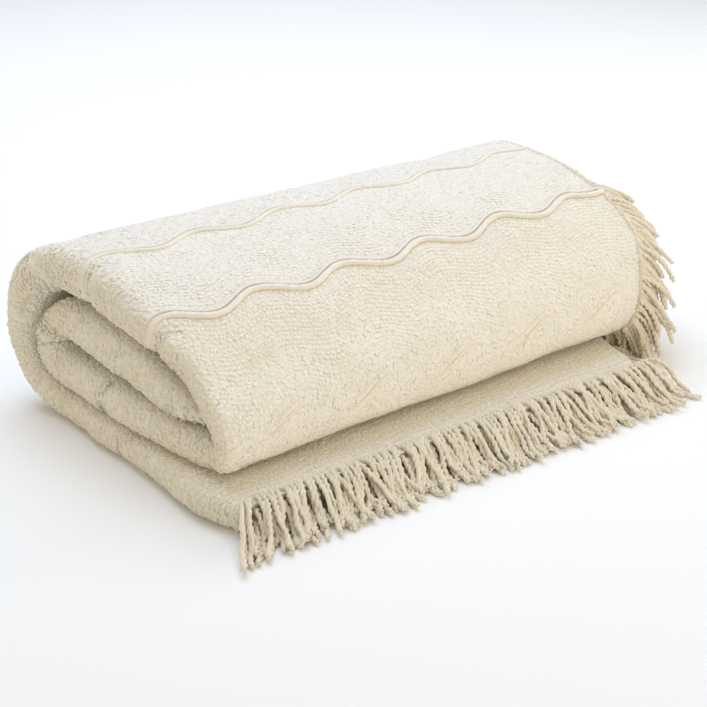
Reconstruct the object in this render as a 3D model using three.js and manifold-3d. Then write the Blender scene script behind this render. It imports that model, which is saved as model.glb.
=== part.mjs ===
// Candlewick bedspread, folded in four lengthwise and wound into a flat loose roll with a short tail
// in front. Lengths are in millimetres, +Z is up, +X runs along the roll, +Y goes to the back.
import * as THREE from 'three';
import Module from 'manifold-3d';

// The cloth
const CLOTH = 7; // thickness of the cloth with its tufted pile
const PLIES = 4;
const LOWER_EDGE_INSET = 6; // second free edge, kept back from the outermost one
const RIGHT_FOLD_INSET = 16; // fold between the two free edges' layers, kept back from the edge
const FACE_STEPS = 5; // points across a plain ply
const FINE_STEP = 22; // point spacing across a ply that carries wavy ridges
const BACK_STEPS = 2; // points across the hidden side of a ply
const OUTER_FOLD_STEPS = 7;
const INNER_FOLD_STEPS = 4;

// The course of the wound band, seen in section: one row per place along the band, the tail first.
// leftY, leftZ, rightY and rightZ place the middle of the band at both ends of the roll.
// A row without leftZ and rightZ lies flat on the ground. foldX is the outside of the left fold,
// edgeX the free edge at the right, steps the number of sections up to the next row.
const LEFT_PLANE = 0;
const RIGHT_PLANE = 600;
const COURSE = [
  { leftY: -12, rightY: -12, foldX: -18, edgeX: 542, pitch: 8.2, steps: 2 },
  { leftY: 40, rightY: 50, foldX: -41, edgeX: 554, pitch: 8.7, steps: 2 },
  { leftY: 120, rightY: 135, foldX: -47, edgeX: 568, pitch: 9.5, steps: 2 },
  { leftY: 215, rightY: 235, foldX: -59, edgeX: 580, pitch: 9.5, steps: 2 },
  { leftY: 298, rightY: 312, foldX: -66, edgeX: 588, pitch: 9.5, steps: 3 },
  { leftY: 350, leftZ: 37, rightY: 357, rightZ: 37, foldX: -81, edgeX: 592, pitch: 10.5, steps: 3 },
  { leftY: 378, leftZ: 92, rightY: 384, rightZ: 91, foldX: -87, edgeX: 594, pitch: 12.7, steps: 3 },
  { leftY: 358, leftZ: 157, rightY: 369, rightZ: 148, foldX: -77, edgeX: 596, pitch: 15.5, steps: 3 },
  { leftY: 302, leftZ: 176, rightY: 324, rightZ: 168, foldX: -57, edgeX: 596, pitch: 16, steps: 2 },
  { leftY: 225, leftZ: 168.5, rightY: 250, rightZ: 170.5, foldX: -38, edgeX: 596, pitch: 16, steps: 2 },
  { leftY: 149, leftZ: 155, rightY: 169, rightZ: 165, foldX: -28, edgeX: 597, pitch: 11.8, steps: 3 },
  { leftY: 91, leftZ: 121.5, rightY: 105, rightZ: 139.5, foldX: -9, edgeX: 600, pitch: 9.2, steps: 3 },
  { leftY: 48, leftZ: 92, rightY: 66, rightZ: 109, foldX: -13, edgeX: 577, pitch: 8.7, steps: 3 },
  { leftY: 39.5, leftZ: 70.5, rightY: 58, rightZ: 82, foldX: -13, edgeX: 569, pitch: 8.4, steps: 3 },
  { leftY: 47.5, leftZ: 53.5, rightY: 68, rightZ: 58.5, foldX: -13, edgeX: 564, pitch: 8.4, steps: 3 },
  { leftY: 69, leftZ: 52.5, rightY: 92, rightZ: 54, foldX: -19, edgeX: 564, pitch: 9.5, steps: 2 },
  { leftY: 140, leftZ: 58, rightY: 165, rightZ: 58.5, foldX: -42, edgeX: 568, pitch: 12, steps: 2 },
  { leftY: 302, leftZ: 61.5, rightY: 309, rightZ: 61.5, foldX: -67, edgeX: 576, pitch: 13, steps: 2 },
  { leftY: 320, leftZ: 69, rightY: 327, rightZ: 69, foldX: -72, edgeX: 578, pitch: 13, steps: 2 },
  { leftY: 327.5, leftZ: 88, rightY: 334.5, rightZ: 87.5, foldX: -74, edgeX: 580, pitch: 13, steps: 2 },
  { leftY: 320, leftZ: 107, rightY: 327, rightZ: 106, foldX: -61, edgeX: 582, pitch: 13, steps: 2 },
  { leftY: 302, leftZ: 114.5, rightY: 309, rightZ: 113.5, foldX: -57, edgeX: 583, pitch: 14, steps: 2 },
  { leftY: 205, leftZ: 112.5, rightY: 212, rightZ: 112.5, foldX: -45, edgeX: 584, pitch: 14.6, steps: 2 },
  { leftY: 150, leftZ: 106, rightY: 158, rightZ: 108, foldX: -37, edgeX: 583, pitch: 11.6, steps: 2 },
  { leftY: 116, leftZ: 95.5, rightY: 124, rightZ: 100.5, foldX: -29, edgeX: 582, pitch: 8.8, steps: 0 },
];

// Wavy ridges across the outer face: at is the place along the band, as a row number of the course
const RIDGES = [
  { at: 6.3, height: 3 },
  { at: 8.48, height: 3 },
  { at: 10.06, height: 3.5 },
  { at: 12.6, height: 2.5 },
];
const RIDGE_FOOT = 8; // half the width at the foot
const RIDGE_CREST = 4; // half the width at the crest
const WAVE_LENGTH = 111;
const WAVE_HEIGHT = 8;
const WAVE_START = 20;
const WAVE_FADE = 45; // the waves run out straight this near the free edge
const WAVE_RUNOUT = 36; // and over this length of band before the first and after the last ridge

// Fringe
const PART_GAP = 0.35; // between the cloth's edge and a strip of fringe
const HEM_TILT = 0.2; // how far the front hem leans forward at its top
const STRIP_DEPTH = 4;
const STRIP_HEIGHT = 6;
const CORD = 5.4; // thickness of a fringe cord
const FRONT_CORDS = 62;
const FRONT_CORD_LENGTH = 58;
const FRONT_MARGIN = 9;
const FRONT_LEAN_LEFT = -20; // how far the tips stray sideways at the left end of the hem
const FRONT_LEAN_RIGHT = 16; // and at the right end
const SIDE_PITCH = 12;
const SIDE_CORD_LENGTH = 38; // reach of the cords that lie on the ground
const SIDE_REACH = 48; // outward and downward reach where the edge stands upright
const SIDE_DROP = 26;
const SIDE_REACH_FLAT = 26; // the same where the edge lies level
const SIDE_DROP_FLAT = 40;

// Line of a cord: out and fall are shares of its reach and drop, up a height in cord thicknesses
const LOWER_FALL = [{ out: 0, up: 0.5 }, { out: 1, up: 0.5 }];
const UPPER_FALL = [
  { out: 0, up: 4.6 },
  { out: 0.25, up: 4.3 },
  { out: 0.6, up: 2.6 },
  { out: 0.95, up: 1.75 },
];
const SIDE_FALL = [
  { out: 0, fall: 0 },
  { out: 0.4, fall: 0.12 },
  { out: 0.8, fall: 0.5 },
  { out: 1, fall: 1 },
];

// Middle of the footprint, fringe included
const MIDDLE_X = 280.05;
const MIDDLE_Y = 165.43;

const CREAM = 0xe9e0cb;
const ECRU = 0xd8cbad;

// Smooth course
function restingHeight(pitch) {
  return ((PLIES - 1) * pitch + CLOTH) / 2;
}

function courseValue(row, column) {
  const value = row[column];
  return value === undefined ? restingHeight(row.pitch) : value;
}

function chord(a, b) {
  const ends = ['left', 'right'].map((end) => {
    const along = courseValue(b, end + 'Y') - courseValue(a, end + 'Y');
    const up = courseValue(b, end + 'Z') - courseValue(a, end + 'Z');
    return Math.hypot(along, up);
  });
  return (ends[0] + ends[1]) / 2;
}

const PLACES = [0];
for (let i = 1; i < COURSE.length; i += 1) {
  PLACES.push(PLACES[i - 1] + chord(COURSE[i - 1], COURSE[i]));
}

// Slope of a column at each row: a parabola through three rows, held back so that no row is overshot
function columnSlopes(column) {
  const last = COURSE.length - 1;
  const span = [];
  const rise = [];
  for (let i = 0; i < last; i += 1) {
    span.push(PLACES[i + 1] - PLACES[i]);
    rise.push((courseValue(COURSE[i + 1], column) - courseValue(COURSE[i], column)) / span[i]);
  }
  const slopes = [rise[0]];
  for (let i = 1; i < last; i += 1) {
    const turns = rise[i - 1] * rise[i] <= 0;
    const mixed = (rise[i - 1] * span[i] + rise[i] * span[i - 1]) / (span[i - 1] + span[i]);
    const most = 3 * Math.min(Math.abs(rise[i - 1]), Math.abs(rise[i]));
    slopes.push(turns ? 0 : Math.sign(mixed) * Math.min(Math.abs(mixed), most));
  }
  slopes.push(rise[last - 1]);
  return slopes;
}

const COLUMNS = ['leftY', 'leftZ', 'rightY', 'rightZ', 'foldX', 'edgeX', 'pitch'];
const SLOPES = Object.fromEntries(COLUMNS.map((column) => [column, columnSlopes(column)]));

function placeOf(rowNumber) {
  const i = Math.min(Math.floor(rowNumber), COURSE.length - 2);
  return PLACES[i] + (PLACES[i + 1] - PLACES[i]) * (rowNumber - i);
}

// Value and slope of one column at a place along the band
function sample(column, place) {
  let i = 0;
  while (i < COURSE.length - 2 && place > PLACES[i + 1]) {
    i += 1;
  }
  const span = PLACES[i + 1] - PLACES[i];
  const t = (place - PLACES[i]) / span;
  const a = courseValue(COURSE[i], column);
  const b = courseValue(COURSE[i + 1], column);
  const p = SLOPES[column][i] * span;
  const q = SLOPES[column][i + 1] * span;
  const c = 3 * (b - a) - 2 * p - q;
  const d = 2 * (a - b) + p + q;
  return { value: a + t * (p + t * (c + t * d)), slope: (p + t * (2 * c + t * 3 * d)) / span };
}

// Point at a place along the band, at x along the roll, off away from the band's middle
function bandPoint(place, x, off) {
  const w = (x - LEFT_PLANE) / (RIGHT_PLANE - LEFT_PLANE);
  const ly = sample('leftY', place);
  const lz = sample('leftZ', place);
  const ry = sample('rightY', place);
  const rz = sample('rightZ', place);
  const alongY = ly.slope + (ry.slope - ly.slope) * w;
  const alongZ = lz.slope + (rz.slope - lz.slope) * w;
  const size = Math.hypot(alongY, alongZ);
  const y = ly.value + (ry.value - ly.value) * w + (alongZ / size) * off;
  const z = lz.value + (rz.value - lz.value) * w - (alongY / size) * off;
  return [x, y, z];
}

function waveAt(x) {
  return WAVE_HEIGHT * Math.sin((2 * Math.PI * (x - WAVE_START)) / WAVE_LENGTH);
}

// One loop round the folded cloth at a place along the band. Each entry has a key for joining loops.
// fine is the share of the full wave that the outer face follows here, raise its ridge height.
function clothLoop(place, fine, raise) {
  const pitch = sample('pitch', place).value;
  const half = CLOTH / 2;
  const foldX = sample('foldX', place).value;
  const edgeX = sample('edgeX', place).value;
  const foldMiddle = foldX + 1.5 * pitch + half;
  const rightMiddle = edgeX - RIGHT_FOLD_INSET - pitch / 2 - half;
  const loop = [];
  const add = (key, x, off, lift = 0, shift = 0) => {
    loop.push({ key, point: bandPoint(place + shift, x, off + lift) });
  };
  const line = (key, fromX, toX, off, steps) => {
    for (let i = 0; i < steps; i += 1) {
      add(key + i / steps, fromX + ((toX - fromX) * i) / steps, off);
    }
  };
  const arc = (key, middleX, middleOff, radius, fromAngle, toAngle, steps) => {
    for (let i = 0; i < steps; i += 1) {
      const angle = fromAngle + ((toAngle - fromAngle) * i) / steps;
      add(key + i / steps, middleX + radius * Math.cos(angle), middleOff + radius * Math.sin(angle));
    }
  };
  const up = Math.PI / 2;
  const outer = 1.5 * pitch;
  const inner = 0.5 * pitch;
  // Outer face, with or without the wavy ridge
  const faceSteps = fine ? Math.round((edgeX - foldMiddle) / FINE_STEP) : FACE_STEPS;
  for (let i = 0; i < faceSteps; i += 1) {
    const x = edgeX + ((foldMiddle - edgeX) * i) / faceSteps;
    const fade = Math.min(1, (edgeX - x) / WAVE_FADE);
    add(i / faceSteps, x, outer + half, raise, fine * fade * waveAt(x));
  }
  // Round the left fold and back over the band's inner face
  for (let i = 0; i < OUTER_FOLD_STEPS; i += 1) {
    const t = i / OUTER_FOLD_STEPS;
    const angle = up + Math.PI * t;
    const fade = 1 - t;
    const x = foldMiddle + (outer + half) * Math.cos(angle);
    const lift = raise * fade * fade;
    const reach = (outer + half + lift) / (outer + half);
    const shift = fine * waveAt(foldMiddle) * fade;
    add(1 + t, foldMiddle + (x - foldMiddle) * reach, (outer + half + lift) * Math.sin(angle), 0, shift);
  }
  line(2, foldMiddle, rightMiddle, -outer - half, FACE_STEPS);
  arc(3, rightMiddle, -pitch, inner + half, -up, up, INNER_FOLD_STEPS);
  line(4, rightMiddle, foldMiddle, half - inner, BACK_STEPS);
  arc(5, foldMiddle, 0, inner - half, 3 * up, up, INNER_FOLD_STEPS);
  line(6, foldMiddle, edgeX - LOWER_EDGE_INSET, inner - half, BACK_STEPS);
  // Second free edge, then the whole way back along the other side
  add(7, edgeX - LOWER_EDGE_INSET, inner - half);
  line(8, edgeX - LOWER_EDGE_INSET, foldMiddle, inner + half, BACK_STEPS);
  arc(9, foldMiddle, 0, inner + half, up, 3 * up, INNER_FOLD_STEPS);
  line(10, foldMiddle, rightMiddle, -inner - half, BACK_STEPS);
  arc(11, rightMiddle, -pitch, inner - half, up, -up, INNER_FOLD_STEPS);
  line(12, rightMiddle, foldMiddle, half - outer, BACK_STEPS);
  arc(13, foldMiddle, 0, outer - half, 3 * up, up, OUTER_FOLD_STEPS);
  line(14, foldMiddle, edgeX, outer - half, BACK_STEPS);
  add(15, edgeX, outer - half);
  return loop;
}

// Sections along the band: plain ones from the course, groups of four over each ridge
function sections() {
  const places = [];
  const firstRidge = placeOf(RIDGES[0].at);
  const lastRidge = placeOf(RIDGES[RIDGES.length - 1].at);
  const clear = RIDGE_FOOT + 4;
  COURSE.forEach((row, i) => {
    for (let k = 0; k < Math.max(row.steps, 1); k += 1) {
      const place = placeOf(i + (row.steps ? k / row.steps : 0));
      const beyond = Math.max(firstRidge - place, place - lastRidge, RIDGE_FOOT) - RIDGE_FOOT;
      const near = RIDGES.some((ridge) => Math.abs(placeOf(ridge.at) - place) < clear);
      if (!near) {
        places.push({ place, fine: Math.max(0, 1 - beyond / WAVE_RUNOUT), raise: 0 });
      }
    }
  });
  RIDGES.forEach((ridge) => {
    const middle = placeOf(ridge.at);
    [-RIDGE_FOOT, -RIDGE_CREST, RIDGE_CREST, RIDGE_FOOT].forEach((shift) => {
      const raise = Math.abs(shift) < RIDGE_FOOT ? ridge.height : 0;
      places.push({ place: middle + shift, fine: 1, raise });
    });
  });
  return places.sort((a, b) => a.place - b.place);
}

// Triangles between two loops whose points need not match one to one
function joinLoops(first, second, triangles) {
  let i = 0;
  let j = 0;
  const keyOf = (loop, k) => (k < loop.length ? loop[k].key : loop[0].key + 16);
  while (i < first.length || j < second.length) {
    const a = first[i % first.length].index;
    const b = second[j % second.length].index;
    const nextA = i < first.length ? keyOf(first, i + 1) : Infinity;
    const nextB = j < second.length ? keyOf(second, j + 1) : Infinity;
    if (nextA <= nextB) {
      triangles.push(a, first[(i + 1) % first.length].index, b);
      i += 1;
    } else {
      triangles.push(a, second[(j + 1) % second.length].index, b);
      j += 1;
    }
  }
}

// Flat end across the folded cloth, one strip between the two sides of each ply
function closeEnd(loop, triangles, facingTail) {
  let i = 0;
  let j = loop.length - 1;
  const mirrored = (key) => 15 - key;
  while (i < j) {
    const moveFirst = loop[i + 1].key <= mirrored(loop[j - 1].key);
    const next = moveFirst ? i + 1 : j - 1;
    if (next !== i && next !== j && i + 1 < j) {
      const corner = [loop[i].index, loop[j].index, loop[next].index];
      triangles.push(...(facingTail ? corner : corner.reverse()));
    }
    if (moveFirst) {
      i += 1;
    } else {
      j -= 1;
    }
  }
}

function clothGeometry() {
  const points = [];
  const triangles = [];
  const loops = sections().map(({ place, fine, raise }) => clothLoop(place, fine, raise));
  loops.forEach((loop) => {
    loop.forEach((entry) => {
      entry.index = points.length / 3;
      points.push(...entry.point);
    });
  });
  for (let i = 1; i < loops.length; i += 1) {
    joinLoops(loops[i - 1], loops[i], triangles);
  }
  closeEnd(loops[0], triangles, true);
  closeEnd(loops[loops.length - 1], triangles, false);
  const geometry = new THREE.BufferGeometry();
  geometry.setAttribute('position', new THREE.Float32BufferAttribute(points, 3));
  geometry.setIndex(triangles);
  return geometry;
}

// A cord of square section along a line of points, turned upright
function cordGeometry(line) {
  const corners = [[1, 1], [-1, 1], [-1, -1], [1, -1]];
  const points = [];
  const triangles = [];
  const last = line.length - 1;
  line.forEach((middle, i) => {
    const before = line[Math.max(i - 1, 0)];
    const after = line[Math.min(i + 1, last)];
    const along = new THREE.Vector3().subVectors(after, before).normalize();
    const across = new THREE.Vector3(-along.y, along.x, 0).normalize();
    const upward = new THREE.Vector3().crossVectors(along, across);
    corners.forEach(([a, b]) => {
      const corner = middle.clone();
      corner.addScaledVector(across, (a * CORD) / 2);
      corner.addScaledVector(upward, (b * CORD) / 2);
      points.push(corner.x, corner.y, corner.z);
    });
  });
  for (let i = 0; i < last; i += 1) {
    for (let k = 0; k < 4; k += 1) {
      const a = i * 4 + k;
      const b = i * 4 + ((k + 1) % 4);
      triangles.push(a, b, a + 4, b, b + 4, a + 4);
    }
  }
  triangles.push(0, 2, 1, 0, 3, 2);
  const tip = last * 4;
  triangles.push(tip, tip + 1, tip + 2, tip, tip + 2, tip + 3);
  return { points, triangles };
}

// A strip of four long faces from one quadrilateral to the next
function stripGeometry(quads) {
  const points = quads.flat(2);
  const triangles = [];
  const last = quads.length - 1;
  for (let i = 0; i < last; i += 1) {
    for (let k = 0; k < 4; k += 1) {
      const a = i * 4 + k;
      const b = i * 4 + ((k + 1) % 4);
      triangles.push(a, b, a + 4, b, b + 4, a + 4);
    }
  }
  triangles.push(0, 2, 1, 0, 3, 2);
  const end = last * 4;
  triangles.push(end, end + 1, end + 2, end, end + 2, end + 3);
  return { points, triangles };
}

const { Manifold, Mesh } = await Module().then((kit) => {
  kit.setup();
  return kit;
});

function solid({ points, triangles }) {
  const mesh = new Mesh({
    numProp: 3,
    vertProperties: new Float32Array(points),
    triVerts: new Uint32Array(triangles),
  });
  return new Manifold(mesh);
}

function fused(shapes) {
  const mesh = Manifold.union(shapes.map(solid)).getMesh();
  const geometry = new THREE.BufferGeometry();
  geometry.setAttribute('position', new THREE.Float32BufferAttribute(mesh.vertProperties, 3));
  geometry.setIndex(Array.from(mesh.triVerts));
  return geometry;
}

// Slow sway along a row of cords, so that they fall in loose clumps without touching
function sway(k, speed) {
  return Math.sin(k * speed) + 0.6 * Math.sin(k * speed * 2.3 + 1);
}

// Row of cords along the front hem, upper row falling over the lower one
function frontFringe(upper) {
  const hem = COURSE[0];
  const thick = (PLIES - 1) * hem.pitch + CLOTH;
  const low = upper ? thick - STRIP_HEIGHT - 2 : 0;
  const front = hem.leftY - PART_GAP - (upper ? HEM_TILT : 0);
  const left = hem.foldX + FRONT_MARGIN;
  const right = hem.edgeX - FRONT_MARGIN;
  const face = (x) => [
    [x, front - STRIP_DEPTH, low],
    [x, front, low],
    [x, front, low + STRIP_HEIGHT],
    [x, front - STRIP_DEPTH, low + STRIP_HEIGHT],
  ];
  const shapes = [stripGeometry([face(left), face(right)])];
  const step = (right - left) / FRONT_CORDS;
  for (let k = 0; k < FRONT_CORDS; k += 1) {
    const x = left + (k + (upper ? 0.35 : 0.65)) * step;
    const lean = FRONT_LEAN_LEFT + ((FRONT_LEAN_RIGHT - FRONT_LEAN_LEFT) * k) / FRONT_CORDS
      + 2.2 * sway(k, 0.35);
    const reach = FRONT_CORD_LENGTH + 4 * sway(k + (upper ? 20 : 0), 0.9);
    const rows = upper ? UPPER_FALL : LOWER_FALL;
    const line = rows.map(({ out, up }) => {
      const height = CORD * up;
      return new THREE.Vector3(x + lean * out, front - STRIP_DEPTH / 2 - reach * out, height);
    });
    shapes.push(cordGeometry(line));
  }
  return fused(shapes);
}

// Row of cords along the outermost free edge at the right, all round the roll
function sideFringe() {
  const half = CLOTH / 2;
  const places = sections().map(({ place }) => place);
  const quads = places.map((place) => {
    const x = sample('edgeX', place).value + PART_GAP;
    const off = 1.5 * sample('pitch', place).value;
    return [
      bandPoint(place, x, off + half),
      bandPoint(place, x, off - half),
      bandPoint(place, x + STRIP_DEPTH, off - half),
      bandPoint(place, x + STRIP_DEPTH, off + half),
    ];
  });
  const shapes = [stripGeometry(quads)];
  const end = PLACES[PLACES.length - 1];
  const count = Math.floor((end - SIDE_PITCH) / SIDE_PITCH);
  for (let k = 0; k < count; k += 1) {
    const place = (k + 0.7) * SIDE_PITCH;
    const root = sample('edgeX', place).value + PART_GAP + STRIP_DEPTH / 2;
    const off = 1.5 * sample('pitch', place).value;
    const [, y, z] = bandPoint(place, root, off);
    const levelRun = Math.abs(sample('leftY', place).slope);
    const flat = Math.min(1, levelRun);
    const reach = SIDE_REACH + (SIDE_REACH_FLAT - SIDE_REACH) * flat + 2 * sway(k, 0.8);
    const drop = SIDE_DROP + (SIDE_DROP_FLAT - SIDE_DROP) * flat;
    const resting = z < half + 0.5;
    const tip = Math.max(z - drop, CORD / 2 + (z - half) * 0.6);
    const line = SIDE_FALL.map(({ out, fall }) => {
      const height = resting ? CORD / 2 : z + (tip - z) * fall;
      const far = resting ? SIDE_CORD_LENGTH : reach;
      return new THREE.Vector3(root + far * out, y, height);
    });
    shapes.push(cordGeometry(resting ? [line[0], line[line.length - 1]] : line));
  }
  return fused(shapes);
}

const group = new THREE.Group();
group.name = 'candlewick_bedspread';
function addPart(name, geometry, color, roughness) {
  geometry.computeVertexNormals();
  const material = new THREE.MeshStandardMaterial({ color, roughness, metalness: 0 });
  const mesh = new THREE.Mesh(geometry, material);
  mesh.name = name;
  mesh.position.set(-MIDDLE_X, -MIDDLE_Y, 0);
  group.add(mesh);
}
addPart('bedspread', clothGeometry(), CREAM, 0.95);
addPart('fringe_front_lower', frontFringe(false), ECRU, 0.95);
addPart('fringe_front_upper', frontFringe(true), ECRU, 0.95);
addPart('fringe_side', sideFringe(), ECRU, 0.95);

export default group;
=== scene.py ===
import math

import bpy
import numpy as np
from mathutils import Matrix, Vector


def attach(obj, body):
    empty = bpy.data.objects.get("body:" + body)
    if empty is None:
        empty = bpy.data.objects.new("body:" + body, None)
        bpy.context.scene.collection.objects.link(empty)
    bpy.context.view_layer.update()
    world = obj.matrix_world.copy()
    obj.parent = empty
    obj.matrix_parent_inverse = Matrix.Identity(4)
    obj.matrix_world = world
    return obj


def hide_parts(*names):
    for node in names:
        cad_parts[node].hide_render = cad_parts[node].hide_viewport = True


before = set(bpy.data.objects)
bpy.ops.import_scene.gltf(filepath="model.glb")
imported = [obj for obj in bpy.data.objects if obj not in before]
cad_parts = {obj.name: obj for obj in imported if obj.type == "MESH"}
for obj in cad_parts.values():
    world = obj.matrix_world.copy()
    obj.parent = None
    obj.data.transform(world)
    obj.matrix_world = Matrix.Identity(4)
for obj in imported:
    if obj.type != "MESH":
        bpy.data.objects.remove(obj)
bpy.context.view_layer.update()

# Candlewick bedspread: cream tufted cotton, folded in four lengthwise and wound into a flat loose roll.
# Sizes are in millimetres unless a name or a comment says otherwise. Meshes are made in metres.
MM = 0.001

# Seeds of all that is left to chance
PILE_SEED = 7
LEFT_SWAY_SEED = 8
LUMP_SEED = 9
DIMPLE_SEED = 10
RIGHT_SWAY_SEED = 11
RIDGE_SEED = 12
FRONT_SEED = 17
CLUMP_SEED = 18
OUTER_EDGE_SEED = 27
INNER_EDGE_SEED = 28

# Cloth
SOLID_CLOTH = 7.0  # thickness that the solid gives one ply
BASE_HALF = 2.4  # half the thickness of the base cloth under the pile
OUTER_PLY = 1.5  # distance of the outer ply and the inner face ply from the band's middle, in pitches
INNER_PLY = 0.5  # the same for the two hidden plies
FOLD_FULLNESS = 0.82  # under 1 the left fold is fuller than a half circle
RIGHT_FOLD_INSET = 16.0  # from the outermost free edge back to the outside of the right fold
LOWER_EDGE_INSET = 6.0  # from the outermost free edge back to the second one
MIDDLE_X = 280.05  # middle of the footprint in the course's own frame
MIDDLE_Y = 165.43

# Course of the wound band in section, the tail first: the middle of the band at both ends of the roll,
# the outside of the left fold, the free edge at the right and the distance from ply to ply.
GROUND = None  # a row that lies flat on the ground
LEFT_PLANE = 0.0
RIGHT_PLANE = 600.0
COLUMNS = ("left_y", "left_z", "right_y", "right_z", "fold_x", "edge_x", "pitch")
COURSE = [
    (-12, GROUND, -12, GROUND, -18, 542, 8.2),
    (40, GROUND, 50, GROUND, -41, 554, 8.7),
    (120, GROUND, 135, GROUND, -47, 568, 9.5),
    (215, GROUND, 235, GROUND, -59, 580, 9.5),
    (298, GROUND, 312, GROUND, -66, 588, 9.5),
    (350, 37, 357, 37, -81, 592, 10.5),
    (378, 92, 384, 91, -87, 594, 12.7),
    (358, 157, 369, 148, -77, 596, 15.5),
    (302, 176, 324, 168, -57, 596, 16),
    (225, 168.5, 250, 170.5, -38, 596, 16),
    (149, 155, 169, 165, -28, 597, 11.8),
    (91, 121.5, 105, 139.5, -9, 600, 9.2),
    (48, 92, 66, 109, -13, 577, 8.7),
    (39.5, 70.5, 58, 82, -13, 569, 8.4),
    (47.5, 53.5, 68, 56, -13, 564, 8.4),
    (69, 52.5, 92, 52.5, -19, 564, 9.5),
    (140, 58, 165, 58.5, -42, 568, 12),
    (302, 61.5, 309, 61.5, -67, 576, 13),
    (320, 69, 327, 69, -72, 578, 13),
    (331, 90, 334.5, 87.5, -74, 580, 13),
    (323, 110, 327, 106, -61, 582, 13),
    (302, 117.5, 309, 113.5, -57, 583, 14),
    (205, 112.5, 212, 112.5, -45, 584, 14.6),
    (150, 106, 158, 108, -37, 583, 11.6),
    (116, 95.5, 124, 100.5, -29, 582, 8.6),
    (94, 88, 102, 94, -16, 582, 6.6),
    (76, 83, 84, 90, 2, 582, 4.8),
]
TAIL_END_ROW = 2.0  # the tail's upper face shows up to here
GROUND_END_ROW = 4.5  # the band lies on the ground up to here
OUTSIDE_ROWS = (3.7, 15.4)  # stretch of the course whose outer face shows

# Wavy ridges, each a thick cord with a thin one behind it. at is a row number of the course, cord and line
# are the two radii, proud is the share of a radius by which a cord's middle stands off the cloth. The pile
# goes on under a faint ridge and stops short of the others.
RIDGES = [
    {"at": 4.7, "cord": 3.0, "line": 1.8, "proud": 0.15, "faint": False},
    {"at": 6.3, "cord": 3.0, "line": 1.8, "proud": 0.15, "faint": False},
    {"at": 8.48, "cord": 2.9, "line": 1.5, "proud": 0.05, "faint": False},
    {"at": 10.06, "cord": 3.6, "line": 2.0, "proud": 0.3, "faint": False},
    {"at": 12.6, "cord": 1.2, "line": 0.9, "proud": 0.2, "faint": True},
]
LINE_BACK = 6.6  # from the thick cord to the thin one, back along the course
RIDGE_STEPS = 240
RIDGE_SIDES = 8
RIDGE_FADE = (-10.0, 45.0)  # a ridge thins out between these distances past the start of the left fold
RIDGE_AT_FOLD = 0.25  # share of its radius that is left there
RIDGE_FLUFF = (0.84, 1.12)  # least and greatest radius at a corner, as shares
RIDGE_GAP = 1.8  # from a ridge's cord to the middle of the nearest row of pile
FAINT_DIP = 1.3  # a faint ridge sinks into the pile on the falling side of each wave
RIDGE_FOOT_PAINTED_SHADE = 0.9  # painted shade at the foot of a ridge, in the crevices beside its cords
RIDGE_FOOT_SHADE_CURVE = 1.5
RIDGE_TONE_SPREAD = 0.15

# Waves of the ridges and of the rows of pile
WAVE_LENGTH = 111.0
WAVE_HEIGHT = 8.0
WAVE_FADE = 45.0  # the waves die out over this distance towards the outermost free edge
TAIL_WAVE_FADE = 70.0  # and over this one towards both ends of the band
WAVE_RETURN = 8.0  # they die out round the left fold, and come back at this rate on the inner face ply
# How the pattern lies on the folded cloth: at a row of the course, how far it drifts along the band from the
# left end to the right one, and where its waves start.
PATTERN_LIE = {
    "row": (7.0, 8.5, 10.1, 12.6, 14.0),
    "drift": (0, 0, 9, 3, 0),
    "start": (20, 20, 20, 9, 9),
}

# Unevenness of the cloth
NOISE_SIDE = 64  # the noise repeats after this many squares
NOISE_SHIFT = 40  # keeps the noise's second coordinate above zero
LUMP_SIZE = 75.0
LUMP_HEIGHT = 1.6
DIMPLE_SIZE = 28.0
DIMPLE_HEIGHT = 0.7
FOLD_SWAY = 3.0
FOLD_SWAY_LENGTH = 70.0
RIGHT_SWAY_RATE = 2.5  # the right fold sways this many times as often as the left one

# Creases, listed one by one: place along the course as a row number, beyond as the distance past the start
# of the left fold, both for the crease's two ends, then its half width and its depth.
CREASES = [
    {"rows": (7.25, 7.75), "beyond": (24, 62), "half": 12, "depth": 5},
    {"rows": (6.4, 7.2), "beyond": (52, 74), "half": 6, "depth": 5},
    {"rows": (19, 19), "beyond": (26, 64), "half": 6, "depth": 9},
    {"rows": (16.5, 16.45), "beyond": (14, 52), "half": 4, "depth": 5},
    {"rows": (2.6, 2.5), "beyond": (20, 50), "half": 7, "depth": 3},
    {"rows": (11.2, 11.9), "beyond": (-60, 10), "half": 12, "depth": 3},
    {"rows": (8.6, 8.6), "beyond": (8, 70), "half": 7, "depth": 3.5},
    {"rows": (10.2, 10.2), "beyond": (6, 55), "half": 8, "depth": 4.5},
    {"rows": (22.3, 22.4), "beyond": (16, 60), "half": 12, "depth": 3},
    {"rows": (3.5, 3.45), "beyond": (10, 40), "half": 12, "depth": 2.5},
]
CREASE_END = 2.6  # creases and lumps end at this key across the cloth
CREASE_FADE = 0.4  # and fade out over this stretch before it

# Cloth sheet: steps along the band on the tail and the ground, on the outside and inside the roll, and the
# number of points on each of the seven stretches across the cloth
GROUND_STEP = 10.0
OUTSIDE_STEP = 4.0
INSIDE_STEP = 7.0
STRETCH_POINTS = (64, 34, 18, 5, 4, 5, 4)
# painted shade: the base cloth, which shows between the rows of pile, takes a deeper tone
SHEET_PAINTED_SHADE = 0.7

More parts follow.
